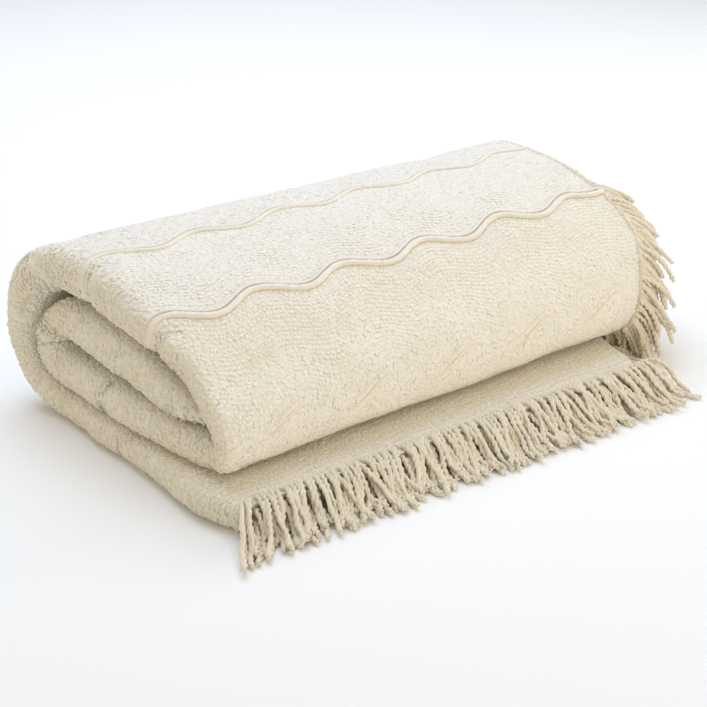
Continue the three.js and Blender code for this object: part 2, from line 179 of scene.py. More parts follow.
# Pile: tufts close together in rows
ROW_PITCH = 5.6
TUFT_STEP = 3.5
STEP_JITTER = 0.3  # how far a tuft strays along its row, as a share of the step
ROW_JITTER = 0.5  # how far it strays from its row
TUFT_LENGTH = 3.1  # half sizes of one tuft along its row and across it
TUFT_WIDTH = 2.8
TUFT_HEIGHT = 0.85
TUFT_SIZES = (0.72, 1.25)  # least and greatest size of a tuft, as shares
TUFT_SIDES = 5
TUFT_FOOT = -0.3  # height of the foot and the ring of a tuft, and width of the ring, as shares
TUFT_RING = 0.55
TUFT_RING_WIDTH = 0.74
TUFT_ROUGH = 0.25  # how far each corner of a tuft strays, as a share of its size
TUFT_TURN = 0.5  # how far tufts turn from their row, in radians
TUFT_LEAN = 0.2  # how far they lean, as a share of their height
PROBE = 0.5  # short distance over which the cloth's directions are measured
LEAST_SPACING = 0.1  # keeps the thinning of crowded rows within bounds
LEAST_HEIGHT = 1.0  # no tuft stands lower than this above the ground
FINE_PLACES = 4000  # steps in which the run of the outer face is measured
PLAIN_REACH = 18.0  # how far the pile goes on either side of a fold where the faces are hidden
PILE_CUTS = (6.9, 8.4, 9.6, 11.5)  # rows of the course between the joined meshes of the outer face
# How high the pile stands at a row of the course, as a share of TUFT_HEIGHT
PILE_HEIGHTS = {
    "row": (4.2, 8.0, 9.7, 10.2, 10.8, 11.5),
    "share": (1.0, 0.5, 0.6, 1.1, 0.95, 0.35),
}

# The pile is ruffled on the left fold
FLUFF_HEIGHT = 1.5  # its height there, as a share of TUFT_HEIGHT
FLUFF_ROUGH = 0.4  # stands for TUFT_ROUGH there
FLUFF_JITTER = 3.0  # how many times as far the tufts stray from their row
FLUFF_REACH = 20.0  # how far the ruffle goes past the fold on either side
FLUFF_RAMP = 26.0  # distance over which it grows

# On the tail's upper face the rows are closer, the tufts are narrower, and every other row is yellower
TAIL_PITCH = 4.2
TAIL_WIDTH = 0.75  # share of TUFT_WIDTH
TAIL_TONES = (0.0, 0.85)

# Tone of the cloth, partly painted shade: 0 is its plain colour and 1 the yellowest
ROOT_PAINTED_SHADE = 0.05  # painted shade at the foot and the ring of a tuft
FLANK_PAINTED_SHADE = 0.25  # more painted shade at the foot of a tuft's two flanks, in the valleys between the rows
LEAST_ROOT_SHADE = 0.5  # share of the painted shade above that low pile keeps
TUFT_TONE_SPREAD = 0.14
PAINTED_SHADE_TONE = 0.75  # painted shade on cloth that faces the ends of the roll
DOWNWARD_SHARE = 0.25  # share of that painted shade on cloth that faces forwards or backwards, twice that on the underside
# Painted shade, darker and yellower on the front of the roll's outer face: the tone added at a row of the
# course
FRONT_PAINTED_SHADE = {
    "row": (10.1, 10.6, 11.5, 12.5),
    "tone": (0.0, 0.38, 0.38, 0.0),
}

# Twisted cords of the fringe
CORD_STEPS = 14
PLY_SIDES = 5
PLY_OFFSET = 0.21  # from the cord's middle to the middle of a ply, as a share of its thickness
PLY_RADIUS = 0.32  # of a ply, as a share of the cord's thickness
TURNS_PER_MM = 0.066
TWIST_STARTS = 6.28  # a cord's twist starts anywhere in this angle
CORD_SIDE_HELPER = (0.31, 0.17, 0.94)  # a direction that hardly any cord follows
CORD_FLOOR = 0.1  # no point of a cord is lower
CORD_TONES = (0.0, 0.42)  # least and greatest tone of a cord
# Width and tone along a cord from root to tip
CORD_WIDTHS = {
    "share": (0.0, 0.8, 0.94, 1.0),
    "width": (1.0, 1.0, 1.15, 0.7),
}
CORD_FADES = {
    "share": (0.0, 0.35, 1.0),
    "tone": (0.0, 0.8, 1.0),
}

# Front fringe: three rows of cords, each with the height of its roots as a share of the hem's thickness,
# the first cord's place as a share of the spacing, and the distance of the roots behind the hem
FRONT_THICK = 7.2
FRONT_ROWS = [
    {"height": 0.42, "count": 86, "length": 58, "offset": 0.2, "inset": 2},
    {"height": 0.8, "count": 92, "length": 60, "offset": 0.55, "inset": 4},
    {"height": 1.06, "count": 98, "length": 70, "offset": 0.85, "inset": 12},
]
FRONT_MARGIN = 6.0  # from the left fold to the first cord, and half of it at the right
FRONT_LENGTHS = (0.74, 1.14)  # least and greatest length, as shares
ROOT_JITTER = 0.06  # share of the spacing
ROOT_SINK = 5.0  # how far a cord starts below the hem that it comes out of
ROOT_RISE = 8  # it has risen from there after one part in this many of its length
FALL_RATE = 1.3  # over 1 a cord comes down before its tip, past the hem
LAND_LEAST = 0.5  # height of a cord's end on the ground, in thicknesses
LAND_SPREAD = 0.75  # greatest height above that, for the rows that lie on others
LOWEST_ROOTS = 0.5  # the row with its roots under this height lies on the ground itself
FRONT_REACH = 0.95  # how far forward a cord gets, as a share of its length
# How the cords lean along the hem: sideways for each millimetre forward
FRONT_LEANS = {
    "share": (0.0, 0.1, 0.4, 0.75, 1.0),
    "lean": (-0.5, -0.2, -0.15, 0.05, 0.3),
}
LEAN_SPREAD = 0.15
LEAN_CURVE = 1.2  # over 1 a cord leans more towards its tip
CLUMP_SIZES = (14.0, 36.0)  # least and greatest width of a clump of cords along the hem
CLUMP_COUNT = 80  # more than fit along the hem
CLUMP_SHARE = 0.5  # share of the way that a cord's tip moves to the middle of its clump
BOW = 4.0  # sideways bow of a loose cord
WIGGLE = 1.6  # small side-to-side waves of it
WIGGLE_LENGTH = 27.0

# Side fringe along the two free edges: ply is the place of the edge in the band in pitches, lift the height
# of the roots above that ply, inset how far the edge lies behind the outermost one
SIDE_THICK = 7.0
OUTER_EDGE = {"ply": OUTER_PLY, "lift": 2.0, "inset": 0.0, "seed": OUTER_EDGE_SEED}
INNER_EDGE = {"ply": INNER_PLY, "lift": 0.0, "inset": LOWER_EDGE_INSET, "seed": INNER_EDGE_SEED}
SIDE_PITCH = 2.1  # twice that on the tail
HIDDEN_PITCH = 7.0  # along the layers inside the roll and on the ground
SIDE_JITTER = 1.0
SIDE_ROOT = 5.0  # how far the roots lie behind the edge
SIDE_LENGTH = 76.0
SIDE_LENGTHS = (0.6, 1.05)  # least and greatest length, as shares
# Slopes are in degrees below level. Cords on a level stretch of the edge hang more steeply.
START_SLOPES = (0, 40)
START_LEVEL_SLOPE = 10
END_SLOPES = (52, 82)
END_LEVEL_SLOPE = 7
SLOPE_CURVE = 0.8  # under 1 a cord bends down near its root
# How the cords droop along the side edge: degrees added to their slope at a row of the course
SIDE_DROOPS = {
    "row": (9.7, 10.3, 10.9, 11.8, 14.0),
    "droop": (0, -24, -10, 8, 12),
}
SIDE_TURN = (-0.15, 0.18)  # mean and spread of the turn to the back, for each millimetre out or down
GROUND_SHARE = 0.5  # the cords that lie on the ground are partly tucked under
GROUND_TURN = 1.4  # they turn to the back, with twice the spread,
TAIL_TURN = -0.5  # and those of the tail turn to the front
TAIL_RISE = 35  # degrees by which the cords of the tail start less steeply
TAIL_END_SHARE = 0.6  # share of the end slope that they keep

# Colours, linear
CREAM = (0.89, 0.855, 0.80)
IVORY = (0.92, 0.90, 0.865)
BUTTER = (0.87, 0.79, 0.62)
FLAX = (0.91, 0.84, 0.70)
ECRU = (0.86, 0.78, 0.63)
STRAW = (0.78, 0.68, 0.52)
FLOOR_WHITE = (0.95, 0.95, 0.95)
WORLD_WHITE = (1.0, 0.93, 0.8)

# Cotton: size of the fibres in metres, and share of sheen
PILE_FIBRE = {"fibre_size": 0.0018, "sheen": 0.25}
CORD_FIBRE = {"fibre_size": 0.0008, "sheen": 0.2}

# Sockets of the colour mix node
MIX_SHARE = 0
MIX_FIRST = 6
MIX_SECOND = 7
MIX_RESULT = 2

# Stage, with sizes and places in metres
FLOOR_SIZE = 14
WORLD_STRENGTH = 0.45
LIGHT_TARGET = (0, 0, 0.1)
LIGHTS = [
    {"name": "high", "place": (0.25, 1.1, 2.2), "size": 2.2, "power": 50, "colour": (0.67, 0.79, 1.0)},
    {"name": "over", "place": (0.3, -0.9, 2.3), "size": 2.0, "power": 7.5, "colour": (1.0, 0.93, 0.8)},
    {"name": "right", "place": (1.8, -0.2, 0.6), "size": 1.0, "power": 8, "colour": (1.0, 0.95, 0.88)},
    {"name": "front", "place": (0.3, -1.9, 0.18), "size": 0.5, "power": 10, "colour": (1.0, 0.9, 0.74)},
    {"name": "left", "place": (-1.8, 0.2, 0.5), "size": 0.9, "power": 2.6, "colour": (1.0, 0.88, 0.72)},
]

# Camera: its place in the course's own frame, and its angles in degrees
CAMERA_EYE = (-620.1, -1105.4, 836.5)
CAMERA_AZIMUTH = -34.1
CAMERA_ELEVATION = 27
FOCAL_PIXELS = 1500
PHOTO_PIXELS = 707
SENSOR_WIDTH = 36


# Course of the band


def band_thickness(pitch):
    return 2 * OUTER_PLY * pitch + SOLID_CLOTH


def course_values():
    """Each column of the course as an array, with the heights of the rows on the ground filled in."""
    columns = {name: [] for name in COLUMNS}
    for row in COURSE:
        entry = dict(zip(COLUMNS, row))
        resting = band_thickness(entry["pitch"]) / 2
        for name in COLUMNS:
            columns[name].append(resting if entry[name] is GROUND else entry[name])
    return {name: np.array(values, float) for name, values in columns.items()}


def course_places(values):
    """Distance of each row along the band, the mean of both ends of the roll."""
    chords = [
        np.hypot(np.diff(values[end + "_y"]), np.diff(values[end + "_z"]))
        for end in ("left", "right")
    ]
    return np.concatenate([[0.0], np.cumsum((chords[0] + chords[1]) / 2)])


def course_slopes(column):
    """Slope at each row from a parabola through three rows, held back so that no row is overshot."""
    span = np.diff(PLACES)
    rise = np.diff(column) / span
    mixed = (rise[:-1] * span[1:] + rise[1:] * span[:-1]) / (span[:-1] + span[1:])
    most = 3 * np.minimum(np.abs(rise[:-1]), np.abs(rise[1:]))
    held = np.sign(mixed) * np.minimum(np.abs(mixed), most)
    inner = np.where(rise[:-1] * rise[1:] <= 0, 0.0, held)
    return np.concatenate([[rise[0]], inner, [rise[-1]]])


VALUES = course_values()
PLACES = course_places(VALUES)
SLOPES = {name: course_slopes(column) for name, column in VALUES.items()}
BAND_LENGTH = PLACES[-1]


def place_of(row_number):
    return np.interp(row_number, np.arange(len(PLACES)), PLACES)


def from_rows(table, name, place):
    """A value at places along the band, from a table by row of the course."""
    return np.interp(place, place_of(np.array(table["row"])), table[name])


def from_shares(table, name, share):
    """A value from a table by share of a length."""
    return np.interp(share, table["share"], table[name])


def sample(name, place):
    """Value and slope of one column at places along the band."""
    i = np.clip(np.searchsorted(PLACES, place, side="right") - 1, 0, len(PLACES) - 2)
    span = PLACES[i + 1] - PLACES[i]
    t = (place - PLACES[i]) / span
    start, stop = VALUES[name][i], VALUES[name][i + 1]
    leaving, arriving = SLOPES[name][i] * span, SLOPES[name][i + 1] * span
    square = 3 * (stop - start) - 2 * leaving - arriving
    cube = 2 * (start - stop) + leaving + arriving
    value = start + t * (leaving + t * (square + t * cube))
    slope = (leaving + t * (2 * square + t * 3 * cube)) / span
    return value, slope


def unit(vectors):
    return vectors / np.linalg.norm(vectors, axis=-1, keepdims=True)


def band(place, x):
    """Middle of the band and its outward normal, at a place and at x along the roll."""
    share = (x - LEFT_PLANE) / (RIGHT_PLANE - LEFT_PLANE)
    left_y, left_y_slope = sample("left_y", place)
    left_z, left_z_slope = sample("left_z", place)
    right_y, right_y_slope = sample("right_y", place)
    right_z, right_z_slope = sample("right_z", place)
    along_y = left_y_slope + (right_y_slope - left_y_slope) * share
    along_z = left_z_slope + (right_z_slope - left_z_slope) * share
    none = np.zeros_like(along_y)
    along = unit(np.stack([none, along_y, along_z], axis=-1))
    normal = np.stack([none, along[..., 2], -along[..., 1]], axis=-1)
    y = left_y + (right_y - left_y) * share
    z = left_z + (right_z - left_z) * share
    return np.stack([x, y, z], axis=-1), normal


def lattice_noise(a, b, seed):
    """Smooth noise from -1 to 1 over two coordinates, with one random value per unit square."""
    table = np.random.default_rng(seed).uniform(-1, 1, (NOISE_SIDE, NOISE_SIDE))
    i = np.floor(a).astype(int)
    j = np.floor(b).astype(int)
    u = a - i
    v = b - j
    u = u * u * (3 - 2 * u)
    v = v * v * (3 - 2 * v)
    i, next_i = i % NOISE_SIDE, (i + 1) % NOISE_SIDE
    j, next_j = j % NOISE_SIDE, (j + 1) % NOISE_SIDE
    near = table[i, j] * (1 - u) + table[next_i, j] * u
    far = table[i, next_j] * (1 - u) + table[next_i, next_j] * u
    return near * (1 - v) + far * v


# Folded plies


def fold_middle(place):
    """x where the left fold starts, with the small sway of a fold made by hand."""
    sway = FOLD_SWAY * lattice_noise(place / FOLD_SWAY_LENGTH, 0 * place, LEFT_SWAY_SEED)
    pitch = sample("pitch", place)[0]
    return sample("fold_x", place)[0] + OUTER_PLY * pitch + SOLID_CLOTH / 2 + sway


def right_middle(place):
    """x where the fold between the second and third ply starts, at the right."""
    sway_place = RIGHT_SWAY_RATE * place / FOLD_SWAY_LENGTH
    sway = FOLD_SWAY * lattice_noise(sway_place, 0 * place, RIGHT_SWAY_SEED)
    pitch = sample("pitch", place)[0]
    return sample("edge_x", place)[0] - RIGHT_FOLD_INSET - pitch / 2 - SOLID_CLOTH / 2 + sway


def fold_arc(place):
    """Length round the left fold, taken as a half circle."""
    return math.pi * OUTER_PLY * sample("pitch", place)[0]


def full_fold(angle, radius):
    """Offset and normal on a fold that is fuller than a circle."""
    ways = (np.cos(angle), np.sin(angle))
    point = [np.sign(way) * np.abs(way) ** FOLD_FULLNESS for way in ways]
    steep = [np.sign(way) * np.abs(way) ** (2 - FOLD_FULLNESS) for way in ways]
    size = np.hypot(*steep)
    return radius * point[0], radius * point[1], steep[0] / size, steep[1] / size


def ply_path(place, key):
    """x, offset from the band's middle, and normal of the cloth's middle across the band.

    key runs from 0 at the outermost free edge through seven stretches: outer ply, left fold, inner face ply,
    right fold, hidden ply, inner left fold, hidden ply with the second free edge.
    """
    pitch = sample("pitch", place)[0]
    edge = sample("edge_x", place)[0]
    left, right = fold_middle(place), right_middle(place)
    stretch = np.minimum(np.floor(key), len(STRETCH_POINTS) - 1)
    t = key - stretch
    zero, one = np.zeros_like(place), np.ones_like(place)
    outer, half = OUTER_PLY * pitch, INNER_PLY * pitch
    fold = full_fold(math.pi * (0.5 + t), outer)
    turn_right = math.pi * (t - 0.5)
    turn_left = math.pi * (1.5 - t)
    right_x, right_off = np.cos(turn_right), np.sin(turn_right)
    left_x, left_off = np.cos(turn_left), np.sin(turn_left)
    stretches = [
        (edge + (left - edge) * t, outer, zero, one),
        (left + fold[0], fold[1], fold[2], fold[3]),
        (left + (right - left) * t, -outer, zero, -one),
        (right + half * right_x, half * right_off - pitch, right_x, right_off),
        (right + (left - right) * t, -half, zero, one),
        (left + half * left_x, half * left_off, -left_x, -left_off),
        (left + (edge - LOWER_EDGE_INSET - left) * t, half, zero, -one),
    ]
    chosen = [stretch == i for i in range(len(stretches))]
    return [np.select(chosen, [values[i] * one for values in stretches]) for i in range(4)]


def beyond_fold(place, key):
    """Distance across the cloth past the start of the left fold, negative on the outer ply."""
    edge = sample("edge_x", place)[0]
    left, right = fold_middle(place), right_middle(place)
    arc = fold_arc(place)
    first = (key - 1) * (edge - left)
    third = arc + (key - 2) * (right - left)
    return np.select([key < 1, key < 2], [first, (key - 1) * arc], third)


def key_beyond(place, beyond):
    """The key at a distance past the start of the left fold, on the first three stretches."""
    edge = sample("edge_x", place)[0]
    left, right = fold_middle(place), right_middle(place)
    arc = fold_arc(place)
    return np.select(
        [beyond < 0, beyond < arc],
        [1 + beyond / (edge - left), 1 + beyond / arc],
        2 + (beyond - arc) / (right - left),
    )


def wave_phase(place, x):
    return 2 * math.pi * (x - from_rows(PATTERN_LIE, "start", place)) / WAVE_LENGTH


def wave_shift(place, key):
    """How far along the band the wavy pattern strays from its row."""
    x = fold_middle(place) - beyond_fold(place, key)
    edge = sample("edge_x", place)[0]
    wave = WAVE_HEIGHT * np.sin(wave_phase(place, x))
    ends = np.minimum(place, BAND_LENGTH - place) / TAIL_WAVE_FADE
    free_edge = (edge - x) / WAVE_FADE
    round_fold = np.where(key < 2, 2 - key, WAVE_RETURN * (key - 2))
    wave = wave * np.clip(np.minimum(np.minimum(ends, free_edge), round_fold), 0, 1)
    return wave + from_rows(PATTERN_LIE, "drift", place) * np.clip(x / RIGHT_PLANE, 0, 1)


def crease_height(place, beyond):
    """Height of the soft lumps, less the depth of the listed creases."""
    lump = lattice_noise(place / LUMP_SIZE, beyond / LUMP_SIZE + NOISE_SHIFT, LUMP_SEED)
    dimple = lattice_noise(place / DIMPLE_SIZE, beyond / DIMPLE_SIZE + NOISE_SHIFT, DIMPLE_SEED)
    height = LUMP_HEIGHT * lump
    height += DIMPLE_HEIGHT * dimple
    for crease in CREASES:
        start = np.array([place_of(crease["rows"][0]), crease["beyond"][0]])
        run = np.array([place_of(crease["rows"][1]), crease["beyond"][1]]) - start
        t = ((place - start[0]) * run[0] + (beyond - start[1]) * run[1]) / (run @ run)
        near = np.clip(t, 0, 1)
        gap = np.hypot(place - start[0] - near * run[0], beyond - start[1] - near * run[1])
        height -= crease["depth"] * np.exp(-((gap / crease["half"]) ** 2))
    return height


def cloth_face(place, key, side):
    """Points and outward normals of one face of the cloth: side 1 carries the pile, -1 is the other."""
    shifted = place + wave_shift(place, key) if side > 0 else place
    x, off, normal_x, normal_off = ply_path(shifted, key)
    middle, outward = band(shifted, x)
    middle = middle + outward * off[..., None]
    across = np.array([1.0, 0.0, 0.0])
    normal = normal_x[..., None] * across + normal_off[..., None] * outward
    lift = np.full_like(place, BASE_HALF)
    if side > 0:
        shows = np.clip((key > 0) * (CREASE_END - key) / CREASE_FADE, 0, 1)
        lift = lift + shows * crease_height(shifted, beyond_fold(shifted, key))
        point = middle + normal * lift[..., None]
    else:
        point = middle - normal * lift[..., None]
    return point, normal


# Meshes from arrays


def to_frame(points):
    """Millimetres in the course's frame to metres in the part's frame."""
    return (points - np.array([MIDDLE_X, MIDDLE_Y, 0.0])) * MM


def mesh_piece(name, points, faces, material, tone):
    """A smooth mesh object from arrays of points, of faces with equal numbers of corners, and of tones."""
    count, corners = faces.shape
    mesh = bpy.data.meshes.new(name)
    mesh.vertices.add(len(points))
    mesh.vertices.foreach_set("co", to_frame(points).astype(np.float32).ravel())
    mesh.loops.add(count * corners)
    mesh.loops.foreach_set("vertex_index", faces.astype(np.int32).ravel())
    mesh.polygons.add(count)
    mesh.polygons.foreach_set("loop_start", np.arange(0, count * corners, corners, dtype=np.int32))
    mesh.polygons.foreach_set("use_smooth", np.ones(count, bool))
    layer = mesh.attributes.new("tone", "FLOAT", "POINT")
    layer.data.foreach_set("value", tone.astype(np.float32))
    mesh.update()
    mesh.validate()
    mesh.materials.append(material)
    piece = bpy.data.objects.new(name, mesh)
    bpy.context.scene.collection.objects.link(piece)
    return piece


# Materials


def cotton(name, pale, mid, deep, fibre_size, sheen):
    """Cotton with cloudy colour, small flecks, a deeper colour by tone, which carries painted shade, and a
    fine fibre bump.
    """
    material = bpy.data.materials.new(name)
    material.use_nodes = True
    tree = material.node_tree

    def node(kind, **settings):
        made = tree.nodes.new(kind)
        for setting, value in settings.items():
            if setting in made.inputs:
                made.inputs[setting].default_value = value
            else:
                setattr(made, setting, value)
        return made

    shader = tree.nodes["Principled BSDF"]
    shader.inputs["Roughness"].default_value = 0.92
    shader.inputs["Specular IOR Level"].default_value = 0.15
    shader.inputs["Sheen Weight"].default_value = sheen
    shader.inputs["Sheen Roughness"].default_value = 0.45
    place = node("ShaderNodeTexCoord")
    cloud = node("ShaderNodeTexNoise", Scale=22.0, Detail=4.0, Roughness=0.6)
    fleck = node("ShaderNodeTexNoise", Scale=420.0, Detail=3.0, Roughness=0.6)
    fibre = node("ShaderNodeTexNoise", Scale=1.0 / fibre_size, Detail=3.0, Roughness=0.65)
    tone = node("ShaderNodeAttribute", attribute_name="tone")
    clouds = node("ShaderNodeMix", data_type="RGBA")
    flecks = node("ShaderNodeMix", data_type="RGBA")
    tone_and_shade = node("ShaderNodeMix", data_type="RGBA")
    fleck_share = node("ShaderNodeMapRange")
    fibre_bump = node("ShaderNodeBump", Strength=0.7, Distance=0.0009)
    for texture in (cloud, fleck, fibre):
        tree.links.new(place.outputs["Object"], texture.inputs["Vector"])
    clouds.inputs[MIX_FIRST].default_value = (*pale, 1)
    clouds.inputs[MIX_SECOND].default_value = (*mid, 1)
    flecks.inputs[MIX_SECOND].default_value = (*deep, 1)
    tone_and_shade.inputs[MIX_SECOND].default_value = (*deep, 1)
    fleck_share.inputs["From Min"].default_value = 0.5
    fleck_share.inputs["From Max"].default_value = 0.8
    fleck_share.inputs["To Max"].default_value = 0.35
    tree.links.new(cloud.outputs["Fac"], clouds.inputs[MIX_SHARE])
    tree.links.new(clouds.outputs[MIX_RESULT], flecks.inputs[MIX_FIRST])
    tree.links.new(fleck.outputs["Fac"], fleck_share.inputs["Value"])
    tree.links.new(fleck_share.outputs["Result"], flecks.inputs[MIX_SHARE])
    tree.links.new(flecks.outputs[MIX_RESULT], tone_and_shade.inputs[MIX_FIRST])
    tree.links.new(tone.outputs["Fac"], tone_and_shade.inputs[MIX_SHARE])
    tree.links.new(tone_and_shade.outputs[MIX_RESULT], shader.inputs["Base Color"])
    tree.links.new(fibre.outputs["Fac"], fibre_bump.inputs["Height"])
    tree.links.new(fibre_bump.outputs["Normal"], shader.inputs["Normal"])
    return material


def floor_material():
    material = bpy.data.materials.new("pale_floor")
    material.use_nodes = True
    shader = material.node_tree.nodes["Principled BSDF"]
    shader.inputs["Roughness"].default_value = 0.9
    shader.inputs["Specular IOR Level"].default_value = 0.1
    shader.inputs["Base Color"].default_value = (*FLOOR_WHITE, 1)
    return material


# Cloth sheet


def sheet_places():
    """Places of the sheet's cross lines: close where the cloth shows, wider on the ground."""
    first, last = place_of(np.array(OUTSIDE_ROWS))
    places = list(np.arange(0, first, GROUND_STEP))
    places += list(np.arange(first, last, OUTSIDE_STEP))
    places += list(np.arange(last, BAND_LENGTH, INSIDE_STEP))
    return np.array(places + [BAND_LENGTH])


def sheet_keys():
    """Points across the cloth on each of its seven stretches."""
    keys = [i + np.arange(count) / count for i, count in enumerate(STRETCH_POINTS)]
    return np.append(np.concatenate(keys), float(len(STRETCH_POINTS)))


def make_sheet(material):
    """The base cloth as one closed thin sheet."""
    places, keys = sheet_places(), sheet_keys()
    place, key = np.meshgrid(places, keys, indexing="ij")
    pile_side = cloth_face(place, key, 1)[0]
    plain_side = cloth_face(place, key, -1)[0]
    points = np.concatenate([pile_side, plain_side[:, ::-1]], axis=1)
    rows, around = points.shape[:2]
    index = np.arange(rows * around).reshape(rows, around)
    following = np.roll(index, -1, axis=1)
    sides = np.stack([index[:-1], following[:-1], following[1:], index[1:]], axis=-1).reshape(-1, 4)
    across = len(keys)
    near = np.arange(across - 1)
    cap = np.stack([near, 2 * across - 1 - near, 2 * across - 2 - near, near + 1], axis=-1)
    faces = np.concatenate([sides[:, ::-1], cap[:, ::-1], cap + (rows - 1) * around])
    points = points.reshape(-1, 3)
    points[:, 2] = np.maximum(points[:, 2], 0.0)
    return mesh_piece("bedspread_cloth", points, faces, material, np.full(len(points), SHEET_PAINTED_SHADE))


# Pile of tufts in wavy rows


def ridge_span(ridge):
    """Places of the rows of pile on either side of a ridge's cords."""
    middle = place_of(ridge["at"])
    return middle - LINE_BACK - ridge["line"] - RIDGE_GAP, middle + ridge["cord"] + RIDGE_GAP


def row_places():
    """Places of the rows of pile, evenly spread on the outer face from ridge to ridge."""
    fine = np.linspace(0, BAND_LENGTH, FINE_PLACES)
    middle, outward = band(fine, np.full_like(fine, MIDDLE_X))
    outer = middle + outward * (OUTER_PLY * sample("pitch", fine)[0] + BASE_HALF)[:, None]
    run = np.concatenate([[0], np.cumsum(np.linalg.norm(np.diff(outer, axis=0), axis=1))])
    tail = place_of(TAIL_END_ROW)
    spans = [ridge_span(ridge) for ridge in RIDGES if not ridge["faint"]]
    limits = [tail + ROW_PITCH, *np.ravel(spans), BAND_LENGTH]
    limits = np.interp(limits, fine, run)
    rows = []
    for start, stop in zip(limits[::2], limits[1::2]):
        rows.append(np.linspace(start, stop, 1 + round((stop - start) / ROW_PITCH)))
    on_tail = np.arange(TAIL_PITCH / 3, tail, TAIL_PITCH)
    return np.concatenate([on_tail, np.interp(np.concatenate(rows), run, fine)])


def ruffled(place, beyond):
    """Share from 0 to 1 by which the pile is ruffled, full on the left fold."""
    inside = np.minimum(beyond + FLUFF_REACH, fold_arc(place) + FLUFF_REACH - beyond)
    return np.clip(inside / FLUFF_RAMP, 0, 1)


def pile_rows():
    """Place, distance past the left fold and row number of every tuft."""
    rng = np.random.default_rng(PILE_SEED)
    outside = place_of(np.array(OUTSIDE_ROWS))
    tail = place_of(TAIL_END_ROW)
    found = []
    for number, place in enumerate(row_places()):
        one = np.array([place])
        left, right = fold_middle(one)[0], right_middle(one)[0]
        edge = sample("edge_x", one)[0][0]
        start = left - edge + TUFT_LENGTH if outside[0] < place < outside[1] else -PLAIN_REACH
        stop = fold_arc(one)[0] + (right - left if place < tail else PLAIN_REACH)
        beyond = np.arange(start, stop, TUFT_STEP) + rng.uniform(0, TUFT_STEP)
        beyond = beyond + rng.normal(0, STEP_JITTER * TUFT_STEP, len(beyond))
        stray = 1 + (FLUFF_JITTER - 1) * ruffled(np.full_like(beyond, place), beyond)
        places = place + rng.normal(0, ROW_JITTER, len(beyond)) * stray
        found.append(np.stack([places, beyond, np.full(len(beyond), number)], axis=-1))
    return np.concatenate(found)


def tuft_template():
    """A small dome: two rings and a top, as shares of its length, width and height, with painted shade at
    its foot.
    """
    angle = 2 * math.pi * np.arange(TUFT_SIDES) / TUFT_SIDES
    half_turn = angle + math.pi / TUFT_SIDES
    foot_height = np.full(TUFT_SIDES, TUFT_FOOT)
    ring_height = np.full(TUFT_SIDES, TUFT_RING)
    foot = np.stack([np.cos(angle), np.sin(angle), foot_height], axis=-1)
    ring_x, ring_y = TUFT_RING_WIDTH * np.cos(half_turn), TUFT_RING_WIDTH * np.sin(half_turn)
    ring = np.stack([ring_x, ring_y, ring_height], axis=-1)
    points = np.concatenate([foot, ring, [[0, 0, 1]]])
    near = np.arange(TUFT_SIDES)
    following = (near + 1) % TUFT_SIDES
    top = np.full(TUFT_SIDES, 2 * TUFT_SIDES)
    faces = np.concatenate([
        np.stack([near, following, near + TUFT_SIDES], axis=-1),
        np.stack([following, following + TUFT_SIDES, near + TUFT_SIDES], axis=-1),
        np.stack([near + TUFT_SIDES, following + TUFT_SIDES, top], axis=-1),
    ])
    foot_painted_shade = ROOT_PAINTED_SHADE + FLANK_PAINTED_SHADE * np.abs(np.sin(angle))
    root = np.concatenate([foot_painted_shade, np.full(TUFT_SIDES, ROOT_PAINTED_SHADE), [0.0]])
    return points, faces, root


def painted_shade_tone(normal):
    """Painted shade, as tone, on cloth that faces the ends of the roll, the front, the back or the ground.
    """
    return PAINTED_SHADE_TONE * (np.abs(normal[..., 0]) + DOWNWARD_SHARE * (1 - normal[..., 2]))


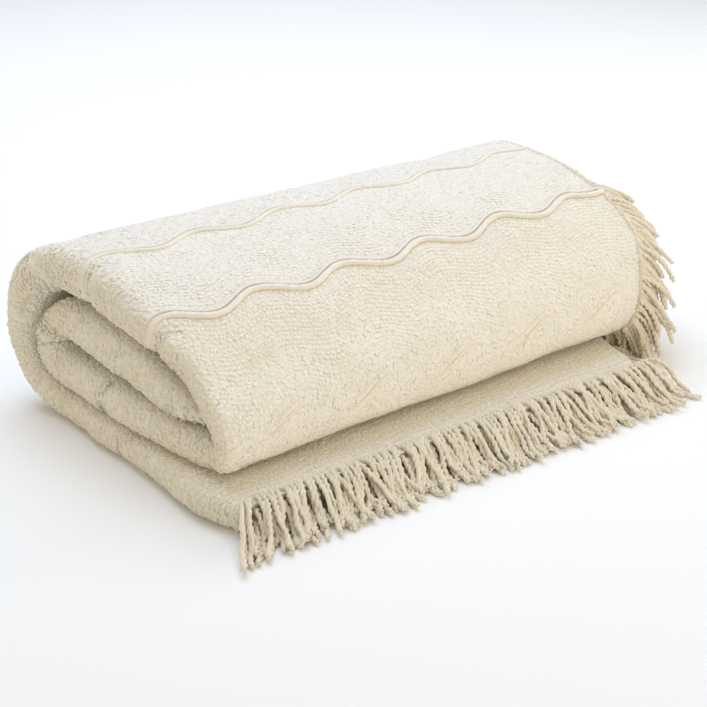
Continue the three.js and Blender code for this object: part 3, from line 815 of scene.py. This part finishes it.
def tufts(name, rows, material):
    """One joined mesh of tufts standing on the cloth's pile face."""
    rng = np.random.default_rng([PILE_SEED, len(rows)])
    place, beyond, number = rows.T
    key = key_beyond(place, beyond)
    point, normal = cloth_face(place, key, 1)
    ahead = cloth_face(place, key_beyond(place, beyond + PROBE), 1)[0]
    further = cloth_face(place + PROBE, key, 1)[0]

    # Rows that crowd together on the inside of a bend are thinned out
    spacing = np.linalg.norm(further - point, axis=-1) / PROBE
    thin_out = np.maximum(1, np.round(1 / np.maximum(spacing, LEAST_SPACING)))
    kept = (number % thin_out == 0) & (point[:, 2] > LEAST_HEIGHT)
    point, normal, ahead = point[kept], normal[kept], ahead[kept]
    place, beyond, number = place[kept], beyond[kept], number[kept]
    count = len(point)

    # Directions along the row and across it, and the way a tuft leans
    row_way = unit(ahead - point)
    side_way = unit(np.cross(normal, row_way))
    turn = rng.normal(0, TUFT_TURN, count)[:, None]
    row_way, side_way = (
        row_way * np.cos(turn) + side_way * np.sin(turn),
        side_way * np.cos(turn) - row_way * np.sin(turn),
    )
    lean = normal + TUFT_LEAN * rng.normal(0, 1, (count, 3))

    # Sizes
    size = rng.uniform(*TUFT_SIZES, (count, 3)) * [TUFT_LENGTH, TUFT_WIDTH, TUFT_HEIGHT]
    on_tail = (place < place_of(TAIL_END_ROW)) & (beyond > 0)
    size[:, 1] *= np.where(on_tail, TAIL_WIDTH, 1.0)
    fluff = ruffled(place, beyond)
    stand = from_rows(PILE_HEIGHTS, "share", place)
    size[:, 2] *= stand + (FLUFF_HEIGHT - stand) * fluff

    # Points and faces
    template, faces, root = tuft_template()
    roughness = TUFT_ROUGH + (FLUFF_ROUGH - TUFT_ROUGH) * fluff
    rough = 1 + roughness[:, None, None] * rng.uniform(-1, 1, (count, len(template), 3))
    local = template[None] * size[:, None] * rough
    points = (
        point[:, None]
        + row_way[:, None] * local[..., :1]
        + side_way[:, None] * local[..., 1:2]
        + lean[:, None] * local[..., 2:]
    )
    points[..., 2] = np.maximum(points[..., 2], 0.0)
    offsets = (np.arange(count) * len(template))[:, None, None]
    all_faces = (faces[None] + offsets).reshape(-1, 3)

    # Tones: painted shade at the feet, on the front and by facing, the tail's rows and a random spread
    tail_tone = np.where(on_tail, np.array(TAIL_TONES)[number.astype(int) % 2], 0.0)
    # painted shade on the front of the roll
    front_painted_shade = np.where(beyond < 0, from_rows(FRONT_PAINTED_SHADE, "tone", place), 0.0)
    tail_tone_and_front_shade = (tail_tone + front_painted_shade)[:, None]
    deep = np.clip(stand, LEAST_ROOT_SHADE, 1)[:, None]
    tone = root * deep + rng.uniform(0, TUFT_TONE_SPREAD, (count, 1))
    tone = tone + tail_tone_and_front_shade + painted_shade_tone(normal)[:, None]
    tone = np.minimum(tone, 1.0)
    return mesh_piece(name, points.reshape(-1, 3), all_faces, material, tone.ravel())


def make_pile(material):
    """The pile in joined meshes: back, top, front, and the folds with the tail."""
    rows = pile_rows()
    place, beyond = rows[:, 0], rows[:, 1]
    outside = place_of(np.array(OUTSIDE_ROWS))
    shows = (place > outside[0]) & (place < outside[1]) & (beyond < 0)
    cuts = place_of(np.array(PILE_CUTS))
    groups = {
        "pile_back": shows & (place < cuts[0]),
        "pile_top_back": shows & (place >= cuts[0]) & (place < cuts[1]),
        "pile_top_front": shows & (place >= cuts[1]) & (place < cuts[2]),
        "pile_front_upper": shows & (place >= cuts[2]) & (place < cuts[3]),
        "pile_front_lower": shows & (place >= cuts[3]),
        "pile_folds": ~shows,
    }
    return [tufts(name, rows[chosen], material) for name, chosen in groups.items()]


# Ridges and fringe, all of them tubes


def tube_mesh(lines, first, second, radius):
    """Points and triangles of closed tubes, from arrays of tubes by steps, with radius also by sides."""
    tubes, steps, sides = radius.shape
    around = 2 * math.pi * np.arange(sides) / sides
    ring = first[:, :, None] * np.cos(around)[:, None] + second[:, :, None] * np.sin(around)[:, None]
    points = lines[:, :, None] + radius[..., None] * ring
    index = np.arange(tubes * steps * sides).reshape(tubes, steps, sides)
    nearby = np.roll(index, -1, axis=2)
    quads = np.stack([index[:, :-1], nearby[:, :-1], nearby[:, 1:], index[:, 1:]], axis=-1).reshape(-1, 4)
    triangles = [quads[:, [0, 1, 2]], quads[:, [0, 2, 3]]]
    ends = points[:, [0, -1]].mean(axis=2)
    for end, order in ((0, [1, 0, 2]), (-1, [0, 1, 2])):
        middle = index.size + 2 * np.arange(tubes) + (end == -1)
        middle = np.repeat(middle[:, None], sides, axis=1)
        cap = np.stack([index[:, end], nearby[:, end], middle], axis=-1).reshape(-1, 3)
        triangles.append(cap[:, order])
    points = np.concatenate([points.reshape(-1, 3), ends.reshape(-1, 3)])
    return points, np.concatenate(triangles)


def ridge_line(ridge, shift, radius):
    """Middle line, normals and radii of one cord of a ridge, shift along the band from its place."""
    middle = place_of(ridge["at"]) + shift
    one = np.array([middle])
    start = fold_middle(one)[0] - sample("edge_x", one)[0][0]
    beyond = np.linspace(start, fold_arc(one)[0], RIDGE_STEPS)
    place = np.full(RIDGE_STEPS, middle)
    point, normal = cloth_face(place, key_beyond(place, beyond), 1)
    share = np.interp(beyond, RIDGE_FADE, [1, RIDGE_AT_FOLD])
    stand = (ridge["proud"] + share - 1) * radius * share
    if ridge["faint"]:
        phase = wave_phase(place, fold_middle(place) - beyond)
        stand = stand - FAINT_DIP * (0.5 + 0.5 * np.cos(phase))
    return point + normal * stand[:, None], normal, radius * share


def ridge_cords(material):
    """The thick and the thin cord of every wavy ridge, partly sunk in the pile."""
    rng = np.random.default_rng(RIDGE_SEED)
    found, faint = [], []
    for ridge in RIDGES:
        found.append(ridge_line(ridge, 0.0, ridge["cord"]))
        found.append(ridge_line(ridge, -LINE_BACK, ridge["line"]))
        faint += [ridge["faint"]] * 2
    lines, normals, radii = (np.stack(values) for values in zip(*found))
    way = np.gradient(lines, axis=1)
    second = unit(np.cross(way, normals))
    first = unit(np.cross(second, way))
    fluff = rng.uniform(*RIDGE_FLUFF, (*lines.shape[:2], RIDGE_SIDES))
    points, faces = tube_mesh(lines, first, second, radii[..., None] * fluff)
    points[:, 2] = np.maximum(points[:, 2], 0.0)
    around = 2 * math.pi * np.arange(RIDGE_SIDES) / RIDGE_SIDES
    # painted shade at the foot of each cord, over the whole of a faint ridge and on the cords' ends, plus
    # painted shade by facing
    foot = RIDGE_FOOT_PAINTED_SHADE * (1 - np.maximum(np.cos(around), 0)) ** RIDGE_FOOT_SHADE_CURVE
    foot = np.where(np.array(faint)[:, None, None], RIDGE_FOOT_PAINTED_SHADE, foot)
    rings = (painted_shade_tone(normals)[..., None] + foot).ravel()
    ends = np.full(2 * len(lines), RIDGE_FOOT_PAINTED_SHADE)
    tone = np.concatenate([rings, ends]) + rng.uniform(0, RIDGE_TONE_SPREAD, len(points))
    return mesh_piece("ridge_cords", points, faces, material, np.minimum(tone, 1.0))


def twisted_cords(name, lines, thick, material, rng):
    """Two-ply cords along lines of points, an array of cords by steps by three."""
    cords, steps = lines.shape[:2]
    way = unit(np.gradient(lines, axis=1))
    first = unit(np.cross(way, np.array(CORD_SIDE_HELPER)))
    second = np.cross(way, first)
    length = np.linalg.norm(np.diff(lines, axis=1), axis=-1).sum(axis=1)
    t = np.linspace(0, 1, steps)
    twist = 2 * math.pi * TURNS_PER_MM * length[:, None] * t + rng.uniform(0, TWIST_STARTS, (cords, 1))
    plies = []
    for turn in (0, math.pi):
        angle = (twist + turn)[..., None]
        plies.append(lines + PLY_OFFSET * thick * (first * np.cos(angle) + second * np.sin(angle)))
    width = from_shares(CORD_WIDTHS, "width", t)
    radius = PLY_RADIUS * thick * width[None, :, None] * np.ones((2 * cords, 1, PLY_SIDES))
    both_first = np.concatenate([first, first])
    both_second = np.concatenate([second, second])
    points, faces = tube_mesh(np.concatenate(plies), both_first, both_second, radius)
    points[:, 2] = np.maximum(points[:, 2], CORD_FLOOR)
    shade = np.tile(rng.uniform(*CORD_TONES, cords), 2)
    rings = (shade[:, None] * from_shares(CORD_FADES, "tone", t)).ravel()
    tone = np.concatenate([np.repeat(rings, PLY_SIDES), np.repeat(shade, 2)])
    return mesh_piece(name, points, faces, material, tone)


def clump_pull(x):
    """How far each cord's tip moves towards the middle of its clump."""
    rng = np.random.default_rng(CLUMP_SEED)
    steps = rng.uniform(*CLUMP_SIZES, CLUMP_COUNT)
    edges = x.min() + np.cumsum(steps)
    clump = np.searchsorted(edges, x)
    return CLUMP_SHARE * (edges[clump] - steps[clump] / 2 - x)


def front_fringe(material):
    """Rows of cords along the front hem, one above the other."""
    rng = np.random.default_rng(FRONT_SEED)
    hem = {name: VALUES[name][0] for name in COLUMNS}
    thick = band_thickness(hem["pitch"])
    left, right = hem["fold_x"] + FRONT_MARGIN, hem["edge_x"] - FRONT_MARGIN / 2
    t = np.linspace(0, 1, CORD_STEPS)
    rows = []
    for row in FRONT_ROWS:
        count = row["count"]
        step = (right - left) / count
        root_x = left + (np.arange(count) + row["offset"]) * step + rng.normal(0, ROOT_JITTER * step, count)
        length = row["length"] * rng.uniform(*FRONT_LENGTHS, count)

        # Height along a cord, from its root in the hem to the ground or the cords below
        root_z = thick * row["height"]
        on_others = row["height"] > LOWEST_ROOTS
        land = FRONT_THICK * (LAND_LEAST + LAND_SPREAD * rng.uniform(0, 1, count) * on_others)
        past_hem = t - row["inset"] / length[:, None]
        fall = 0.5 + 0.5 * np.cos(math.pi * np.clip(past_hem * FALL_RATE, 0, 1))
        sink = ROOT_SINK * np.clip(1 - ROOT_RISE * t, 0, 1)
        z = land[:, None] + (root_z - land)[:, None] * fall - sink

        # Sideways lean, pull of the clump, bow and small waves
        lean = from_shares(FRONT_LEANS, "lean", (root_x - left) / (right - left))
        lean = lean + LEAN_SPREAD * rng.normal(0, 1, count)
        stray = clump_pull(root_x) + length * lean
        bow = BOW * rng.normal(0, 1, (count, 1)) * np.sin(math.pi * t)
        turns = t * length[:, None] / WIGGLE_LENGTH + rng.uniform(0, 1, (count, 1))
        bow = bow + WIGGLE * t * np.sin(2 * math.pi * turns)
        x = root_x[:, None] + stray[:, None] * t ** LEAN_CURVE + bow
        y = hem["left_y"] + row["inset"] - length[:, None] * t * FRONT_REACH
        rows.append(np.stack([x, y, z], axis=-1))
    return twisted_cords("fringe_front", np.concatenate(rows), FRONT_THICK, material, rng)


def edge_places():
    """Places of the cords along a free edge: close where they show, wider apart elsewhere."""
    tail = place_of(TAIL_END_ROW)
    first, last = place_of(np.array(OUTSIDE_ROWS))
    return np.concatenate([
        np.arange(SIDE_PITCH, tail, 2 * SIDE_PITCH),
        np.arange(tail, first, HIDDEN_PITCH),
        np.arange(first, last, SIDE_PITCH),
        np.arange(last, BAND_LENGTH - SIDE_PITCH, HIDDEN_PITCH),
    ])


def side_fringe(name, edge, material):
    """Cords along one free edge at the right, hanging off the roll's end or lying on the floor."""
    rng = np.random.default_rng(edge["seed"])
    place = edge_places()
    count = len(place)
    place = place + rng.normal(0, SIDE_JITTER, count)
    root_x = sample("edge_x", place)[0] - edge["inset"] - SIDE_ROOT
    middle, outward = band(place, root_x)
    root = middle + outward * (edge["ply"] * sample("pitch", place)[0] + edge["lift"])[:, None]
    length = SIDE_LENGTH * rng.uniform(*SIDE_LENGTHS, count)
    step = length / (CORD_STEPS - 1)

    # Slope at the root and at the tip, and the turn to the front or back
    level = np.abs(outward[:, 2])
    droop = from_rows(SIDE_DROOPS, "droop", place)
    start = np.radians(rng.uniform(*START_SLOPES, count) + START_LEVEL_SLOPE * level + droop)
    end = np.radians(rng.uniform(*END_SLOPES, count) + END_LEVEL_SLOPE * level + droop)
    sideways = rng.normal(*SIDE_TURN, count)
    on_tail = place < place_of(TAIL_END_ROW)
    on_ground = place < place_of(GROUND_END_ROW)
    step = np.where(on_ground, GROUND_SHARE * step, step)
    ground_turn = np.where(on_tail, TAIL_TURN, GROUND_TURN) + 2 * sideways
    sideways = np.where(on_ground, ground_turn, sideways)
    start = np.where(on_tail, start - math.radians(TAIL_RISE), start)
    end = np.where(on_tail, TAIL_END_SHARE * end, end)

    # From the root to the tip, level where the floor is reached
    line = [root]
    for i in range(1, CORD_STEPS):
        t = i / (CORD_STEPS - 1)
        angle = start + (end - start) * t ** SLOPE_CURVE
        tip = line[-1]
        on_floor = tip[:, 2] - step * np.sin(angle) < SIDE_THICK / 2
        angle = np.where(on_floor, 0.0, angle)
        move = np.stack([np.cos(angle), sideways, -np.sin(angle)], axis=-1)
        moved = tip + unit(move) * step[:, None]
        moved[:, 2] = np.maximum(moved[:, 2], SIDE_THICK / 2)
        line.append(moved)
    return twisted_cords(name, np.stack(line, axis=1), SIDE_THICK, material, rng)


# Stage, light and camera


def make_stage():
    bpy.ops.mesh.primitive_plane_add(size=FLOOR_SIZE)
    floor = bpy.context.object
    floor.name = "floor"
    floor.data.materials.append(floor_material())
    world = bpy.data.worlds.new("studio")
    bpy.context.scene.world = world
    world.use_nodes = True
    background = world.node_tree.nodes["Background"]
    background.inputs["Color"].default_value = (*WORLD_WHITE, 1)
    background.inputs["Strength"].default_value = WORLD_STRENGTH


def area_light(name, place, size, power, colour):
    light = bpy.data.lights.new(name, "AREA")
    light.size = size
    light.energy = power
    light.color = colour
    lamp = bpy.data.objects.new(name, light)
    lamp.location = place
    lamp.rotation_euler = (Vector(LIGHT_TARGET) - Vector(place)).to_track_quat("-Z", "Y").to_euler()
    bpy.context.scene.collection.objects.link(lamp)


def make_camera():
    azimuth, elevation = math.radians(CAMERA_AZIMUTH), math.radians(CAMERA_ELEVATION)
    back = Vector((
        math.sin(azimuth) * math.cos(elevation),
        -math.cos(azimuth) * math.cos(elevation),
        math.sin(elevation),
    ))
    camera = bpy.data.cameras.new("camera")
    camera.sensor_fit = "HORIZONTAL"
    camera.sensor_width = SENSOR_WIDTH
    camera.lens = SENSOR_WIDTH * FOCAL_PIXELS / PHOTO_PIXELS
    holder = bpy.data.objects.new("camera", camera)
    holder.location = to_frame(np.array(CAMERA_EYE)).tolist()
    holder.rotation_euler = (-back).to_track_quat("-Z", "Y").to_euler()
    bpy.context.scene.collection.objects.link(holder)
    bpy.context.scene.camera = holder


make_camera()
make_stage()
for entry in LIGHTS:
    area_light(**entry)
bpy.context.scene.view_settings.view_transform = "Standard"

pile_cotton = cotton("pile_cotton", IVORY, CREAM, BUTTER, **PILE_FIBRE)
cord_cotton = cotton("cord_cotton", FLAX, ECRU, STRAW, **CORD_FIBRE)

cloth = make_sheet(pile_cotton)
pile = [*make_pile(pile_cotton), ridge_cords(pile_cotton)]
fringe_front = front_fringe(cord_cotton)
fringe_outer = side_fringe("fringe_side_outer", OUTER_EDGE, cord_cotton)
fringe_inner = side_fringe("fringe_side_inner", INNER_EDGE, cord_cotton)

for piece in [cloth, *pile]:
    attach(piece, "root")
for piece in [fringe_front, fringe_outer, fringe_inner]:
    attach(piece, "root")
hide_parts("bedspread")
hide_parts("fringe_front_lower", "fringe_front_upper")
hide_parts("fringe_side")
